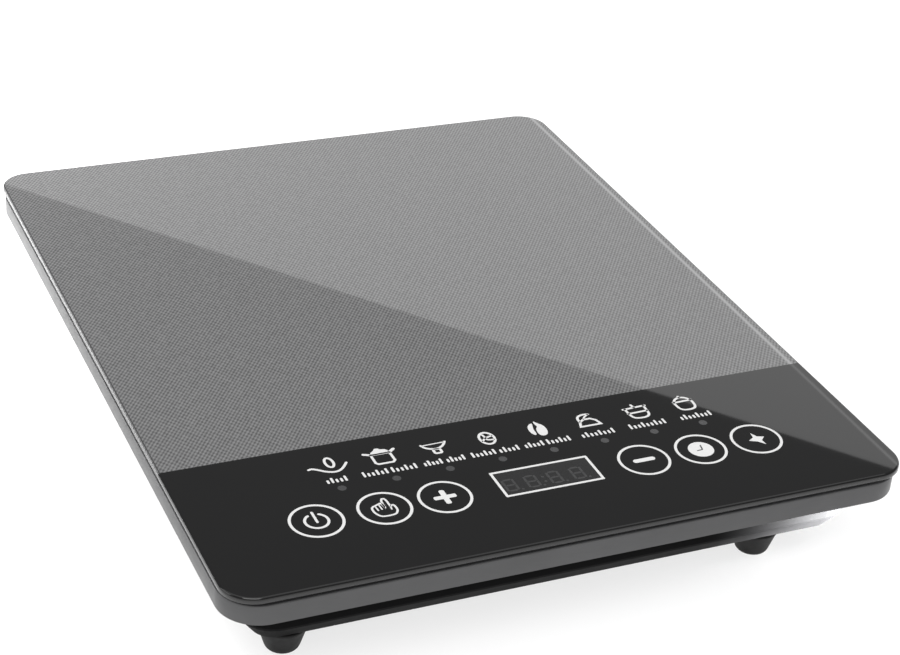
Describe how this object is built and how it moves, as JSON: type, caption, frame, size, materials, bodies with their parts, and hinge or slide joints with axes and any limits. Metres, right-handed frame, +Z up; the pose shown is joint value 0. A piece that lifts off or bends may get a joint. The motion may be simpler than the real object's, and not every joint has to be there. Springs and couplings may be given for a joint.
{
  "type": "portable induction cooktop",
  "caption": "Portable induction cooktop with a black printed glass top, grey rim, dark tray base on rubber feet, touch control strip, coil, boards and fan.",
  "frame": {"origin": "on the surface that the feet stand on, under the centre of the glass plate", "axes": "+Z up, +X to the right seen from the front, +Y to the back, with the control strip at the front, on the -Y side"},
  "size_m": [0.28, 0.35, 0.039],
  "materials": {
    "glass": "black printed ceramic glass, polished, with a fine grey woven print on the cooking area and white marks on the control strip",
    "seal": "black silicone gasket, matt",
    "frame_grey": "grey moulded plastic with a satin sheen",
    "shell_dark": "near-black moulded plastic, fine texture",
    "foot_rubber": "black rubber, matt",
    "screw_steel": "zinc-plated steel",
    "former_plastic": "cream glass-filled nylon",
    "copper": null,
    "ferrite": "sintered ferrite, dull dark grey",
    "mica": "pressed mica sheet, pale brown with flakes",
    "silicone": "white silicone",
    "circuit_board": "green glass-fibre board",
    "aluminium": "extruded aluminium, mill finish",
    "black_moulding": "black moulded plastic",
    "blue_case": "blue epoxy-filled case",
    "yellow_case": "yellow film case or tape",
    "white_moulding": "white moulded plastic",
    "wire_jacket": "red silicone-rubber wire jacket"
  },
  "bodies": {
    "cooktop_body": {"glass_plate": "glass", "glass_seal": "seal", "top_frame": "frame_grey", "bottom_shell": "shell_dark", "foot_front_left": "foot_rubber", "foot_front_right": "foot_rubber", "foot_rear_left": "foot_rubber", "foot_rear_right": "foot_rubber", "cord_gland": "foot_rubber", "case_screw_1": "screw_steel", "case_screw_2": "screw_steel", "case_screw_3": "screw_steel", "case_screw_4": "screw_steel", "case_screw_5": "screw_steel", "case_screw_6": "screw_steel", "coil_screw_1": "screw_steel", "coil_screw_2": "screw_steel", "coil_screw_3": "screw_steel", "power_board_screw_1": "screw_steel", "power_board_screw_2": "screw_steel", "control_board_screw_1": "screw_steel", "control_board_screw_2": "screw_steel", "fan_screw_1": "screw_steel", "fan_screw_2": "screw_steel", "touch_spring_1": "screw_steel", "touch_spring_2": "screw_steel", "touch_spring_3": "screw_steel", "touch_spring_4": "screw_steel", "touch_spring_5": "screw_steel", "touch_spring_6": "screw_steel", "coil_former": "former_plastic", "coil_winding": "copper", "choke_coil": "copper", "ferrite_bar_1": "ferrite", "ferrite_bar_2": "ferrite", "ferrite_bar_3": "ferrite", "ferrite_bar_4": "ferrite", "ferrite_bar_5": "ferrite", "ferrite_bar_6": "ferrite", "mica_sheet": "mica", "sensor_cap": "silicone", "power_board": "circuit_board", "control_board": "circuit_board", "heatsink": "aluminium", "power_transistor": "black_moulding", "bridge_rectifier": "black_moulding", "electrolytic_capacitor": "black_moulding", "buzzer": "black_moulding", "fan_frame": "black_moulding", "resonant_capacitor": "blue_case", "filter_capacitor": "yellow_case", "small_transformer": "yellow_case", "fuse": "white_moulding", "mains_terminal": "white_moulding", "display_module": "white_moulding", "ribbon_cable": "white_moulding", "coil_lead_outer": "wire_jacket", "coil_lead_inner": "wire_jacket", "fan_lead": "wire_jacket"},
    "fan_rotor_body": {"fan_rotor": "black_moulding"}
  },
  "joints": [
    {"name": "fan_spin", "type": "hinge", "parent": "cooktop_body", "child": "fan_rotor_body", "pos_m": [-0.085, -0.068, 0.0146], "axis": [0, 0, 1], "continuous": true}
  ]
}
